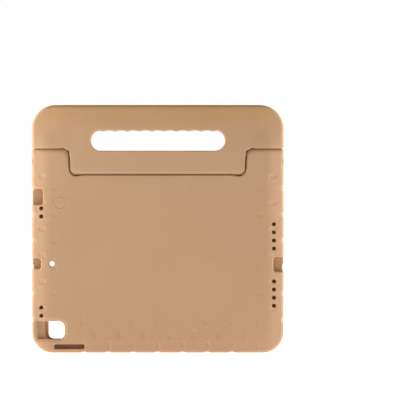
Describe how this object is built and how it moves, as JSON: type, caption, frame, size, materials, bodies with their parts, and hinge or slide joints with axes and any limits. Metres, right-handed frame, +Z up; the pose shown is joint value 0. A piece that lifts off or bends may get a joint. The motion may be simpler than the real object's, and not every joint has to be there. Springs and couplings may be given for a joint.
{
  "type": "tablet case",
  "caption": "Thick foam tablet case with a screen window, port openings and a full-width carry handle with a finger slot, which turns on hidden pivots to fold back as a stand.",
  "frame": {"origin": "on the surface that the case stands on, under the middle of its bottom edge", "axes": "+Z up, +X across the width, towards the charge port, +Y through the thickness, out of the screen window; the camera opening is in the -Y face at -X"},
  "size_m": [0.28, 0.024, 0.275],
  "materials": {
    "foam": "matte moulded closed-cell foam with a fine grain",
    "plug_foam": "matte moulded foam",
    "nylon": "natural nylon, satin",
    "pin_steel": "drawn steel rod",
    "washer_rubber": "matte brown rubber"
  },
  "bodies": {
    "case": {"case_body": "foam", "hinge_pin_left": "pin_steel", "hinge_pin_right": "pin_steel", "post_sleeve_left": "nylon", "post_sleeve_right": "nylon", "friction_washer_left": "washer_rubber", "friction_washer_right": "washer_rubber", "pivot_plug_left": "plug_foam", "pivot_plug_right": "plug_foam"},
    "carry_handle": {"handle": "foam", "handle_sleeve_left": "nylon", "handle_sleeve_right": "nylon"}
  },
  "joints": [
    {"name": "handle_fold", "type": "hinge", "parent": "case", "child": "carry_handle", "pos_m": [0, 0, 0.2125], "axis": [1, 0, 0], "range_deg": [-92, 92]}
  ]
}
